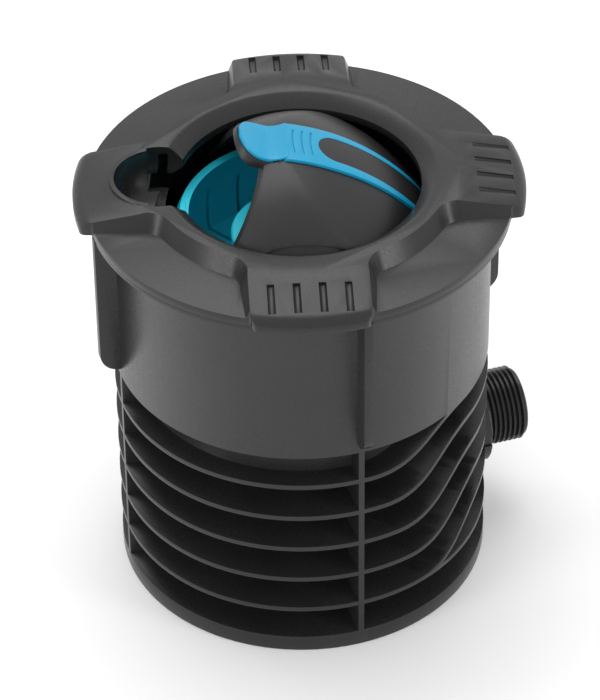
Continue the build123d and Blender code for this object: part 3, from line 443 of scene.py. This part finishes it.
def screw_tree():
    """Screws with a coarse thread, one on each point given.

    Known fault: the cross-cut head is lost in the cut. A flat open disc and a stray edge are left of it.
    """
    tree, start, end = geometry_tree(
        "Pan-head screws",
        {
            "Head radius": ("NodeSocketFloat", SCREW_HEAD_R),
            "Head height": ("NodeSocketFloat", 0.0015),
            "Shank radius": ("NodeSocketFloat", 0.0014),
            "Length": ("NodeSocketFloat", 0.008),
            "Turns": ("NodeSocketFloat", 5.0),
            "Material": ("NodeSocketMaterial", None),
        },
    )
    head_r = start.outputs["Head radius"]
    head_h = start.outputs["Head height"]
    shank_r = start.outputs["Shank radius"]
    shank_l = minus(tree, start.outputs["Length"], head_h)
    core_r = times(tree, shank_r, 0.78)
    ball = add_node(tree, "GeometryNodeMeshUVSphere", {"Segments": 28, "Rings": 14, "Radius": 1.0})
    dome = add_node(
        tree,
        "GeometryNodeTransform",
        {
            "Geometry": ball.outputs["Mesh"],
            "Translation": vector(tree, 0.0, 0.0, head_h),
            "Scale": vector(tree, head_r, head_r, head_h),
        },
    )
    # a block that flattens the dome's far side, and the two bars of the cross; sizes in head radii and heights
    cutters = [(4.0, 4.0, 4.0, 3.0), (1.25, 0.27, 1.1, 0.0), (0.27, 1.25, 1.1, 0.0)]
    head = add_node(tree, "GeometryNodeMeshBoolean", {"Mesh 1": dome.outputs[0]}, operation="DIFFERENCE")
    for wide, deep, tall, lift in cutters:
        size = vector(tree, times(tree, head_r, wide), times(tree, head_r, deep), times(tree, head_h, tall))
        block = add_node(tree, "GeometryNodeMeshCube", {"Size": size})
        moved = placed_shape(tree, block.outputs["Mesh"], 0.0, 0.0, times(tree, head_h, lift))
        tree.links.new(moved, head.inputs["Mesh 2"])
    shank = add_node(
        tree, "GeometryNodeMeshCylinder", {"Vertices": 20, "Radius": core_r, "Depth": shank_l}
    )
    shank_z = plus(tree, head_h, times(tree, shank_l, 0.5))
    raised = placed_shape(tree, shank.outputs["Mesh"], 0.0, 0.0, shank_z)
    spiral = add_node(
        tree,
        "GeometryNodeCurveSpiral",
        {
            "Resolution": 16,
            "Rotations": start.outputs["Turns"],
            "Start Radius": core_r,
            "End Radius": core_r,
            "Height": times(tree, shank_l, 0.8),
        },
    )
    crest_r = times(tree, shank_r, 0.2)
    crest = add_node(tree, "GeometryNodeCurvePrimitiveCircle", {"Resolution": 4, "Radius": crest_r})
    thread = add_node(
        tree,
        "GeometryNodeCurveToMesh",
        {"Curve": spiral.outputs[0], "Profile Curve": crest.outputs[0], "Fill Caps": True},
    )
    thread_z = plus(tree, head_h, times(tree, shank_l, 0.12))
    wound = placed_shape(tree, thread.outputs["Mesh"], 0.0, 0.0, thread_z)
    screw = add_node(tree, "GeometryNodeJoinGeometry")
    for part in (head.outputs["Mesh"], raised, wound):
        tree.links.new(part, screw.inputs[0])
    placed = add_node(
        tree,
        "GeometryNodeInstanceOnPoints",
        {"Points": start.outputs["Geometry"], "Instance": screw.outputs[0]},
    )
    end_tree(tree, placed.outputs[0], start, end)
    return tree


def gauze_tree():
    """Strainer gauze of round wires, rolled into a tube centred on each given point."""
    tree, start, end = geometry_tree(
        "Strainer gauze",
        {
            "Radius": ("NodeSocketFloat", 0.0096),
            "Height": ("NodeSocketFloat", 0.02),
            "Wire": ("NodeSocketFloat", 0.00012),
            "Columns": ("NodeSocketInt", 48),
            "Rows": ("NodeSocketInt", 22),
            "Material": ("NodeSocketMaterial", None),
        },
    )
    tube = add_node(
        tree,
        "GeometryNodeMeshCylinder",
        {
            "Vertices": start.outputs["Columns"],
            "Side Segments": start.outputs["Rows"],
            "Radius": start.outputs["Radius"],
            "Depth": start.outputs["Height"],
        },
        fill_type="NONE",
    )
    wires = add_node(tree, "GeometryNodeMeshToCurve", {"Mesh": tube.outputs["Mesh"]})
    round_wire = add_node(
        tree, "GeometryNodeCurvePrimitiveCircle", {"Resolution": 4, "Radius": start.outputs["Wire"]}
    )
    woven = add_node(
        tree,
        "GeometryNodeCurveToMesh",
        {"Curve": wires.outputs[0], "Profile Curve": round_wire.outputs[0], "Fill Caps": True},
    )
    placed = add_node(
        tree,
        "GeometryNodeInstanceOnPoints",
        {"Points": start.outputs["Geometry"], "Instance": woven.outputs["Mesh"]},
    )
    end_tree(tree, placed.outputs[0], start, end)
    return tree


def built_piece(name, tree, places, values, body, slot):
    """Runs a tree on the given places and keeps the result as a plain mesh on one body."""
    seeds = bpy.data.meshes.new(name + "_places")
    seeds.from_pydata(places, [], [])
    piece = link_piece(name, seeds)
    modifier = piece.modifiers.new("Build", "NODES")
    modifier.node_group = tree
    sockets = {item.name: item.identifier for item in tree.interface.items_tree if item.in_out == "INPUT"}
    for label, value in {**values, "Material": FINISH[slot]}.items():
        modifier[sockets[label]] = value
    plain_mesh(piece, name)
    shade_smooth(piece, SHARP_ANGLE)
    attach(piece, body)
    return piece


def screws_in_place_of(node, azimuths, turns):
    """Threaded screws, without sound heads, where the CAD has plain ones, on the circle of the node's box."""
    low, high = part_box(node)
    furthest = max(abs(sin(radians(a))) for a in azimuths)
    circle = (high.y - SCREW_HEAD_R) / furthest
    places = [(circle * cos(radians(a)), circle * sin(radians(a)), low.z) for a in azimuths]
    values = {"Head radius": SCREW_HEAD_R, "Length": high.z - low.z, "Turns": float(turns)}
    piece = built_piece(node + "_threaded", SCREWS, places, values, body_of_node(node), slot_of_node(node))
    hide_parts(node)


SCREWS = screw_tree()
GAUZE = gauze_tree()
screws_in_place_of("base_plate_screws", (45, 135, 225, 315), 4)
screws_in_place_of("cradle_screws", (65, 115, 245, 295), 7)

basket_low, basket_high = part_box("strainer_basket")
gauze_height = GAUZE_SHARE * (basket_high.z - basket_low.z)
gauze_middle = (0, 0, (basket_high.z + basket_low.z) / 2)
gauze_body = body_of_node("strainer_basket")
built_piece("strainer_gauze", GAUZE, [gauze_middle], {"Height": gauze_height}, gauze_body, "spring_steel")


# ---------------------------------------------------------------- floor, light, camera


def studio_floor():
    mesh = bpy.data.meshes.new("floor")
    size = 3.0
    corners = [(-size, -size, 0), (size, -size, 0), (size, size, 0), (-size, size, 0)]
    mesh.from_pydata(corners, [], [(0, 1, 2, 3)])
    floor = link_piece("floor", mesh)
    floor.location.z = -FLOOR_DROP
    material, tree, shader = blank_material("floor paper")
    shader.inputs["Base Color"].default_value = (0.93, 0.93, 0.93, 1)
    shader.inputs["Roughness"].default_value = 0.9
    dress(floor, material)


def soft_light(name, place, aim, width, height, power):
    data = bpy.data.lights.new(name, "AREA")
    data.shape = "RECTANGLE"
    data.size = width
    data.size_y = height
    data.energy = power
    light = bpy.data.objects.new(name, data)
    light.location = place
    light.rotation_euler = (Vector(aim) - Vector(place)).to_track_quat("-Z", "Y").to_euler()
    bpy.context.scene.collection.objects.link(light)


def studio_world():
    world = bpy.data.worlds.new("studio")
    world.use_nodes = True
    background = world.node_tree.nodes["Background"]
    background.inputs["Color"].default_value = (1.0, 1.0, 1.0, 1)
    background.inputs["Strength"].default_value = 0.9
    bpy.context.scene.world = world


def studio_camera():
    aim = Vector((0, 0, 0.0704))
    place = Vector((-0.048, -0.9825, 0.8894))
    roll = radians(-0.645)
    data = bpy.data.cameras.new("camera")
    data.sensor_width = 36.0
    data.lens = 191.2
    data.shift_x = -0.002
    data.shift_y = 0.0325
    camera = bpy.data.objects.new("camera", data)
    camera.location = place
    look = (aim - place).to_track_quat("-Z", "Y").to_matrix().to_4x4()
    spin = look @ look.Rotation(roll, 4, "Z")
    camera.rotation_euler = spin.to_euler()
    bpy.context.scene.collection.objects.link(camera)
    bpy.context.scene.camera = camera


bpy.context.scene.view_settings.view_transform = "Standard"
studio_floor()
studio_world()
soft_light("overhead", (-0.15, 0.5, 1.3), (0, 0, 0.12), 1.3, 0.8, 8.5)
soft_light("left side", (-1.25, -0.75, 0.42), (0, 0, 0.08), 0.40, 1.1, 6.5)
soft_light("right side", (1.25, -0.75, 0.42), (0, 0, 0.08), 0.35, 1.1, 7)
studio_camera()
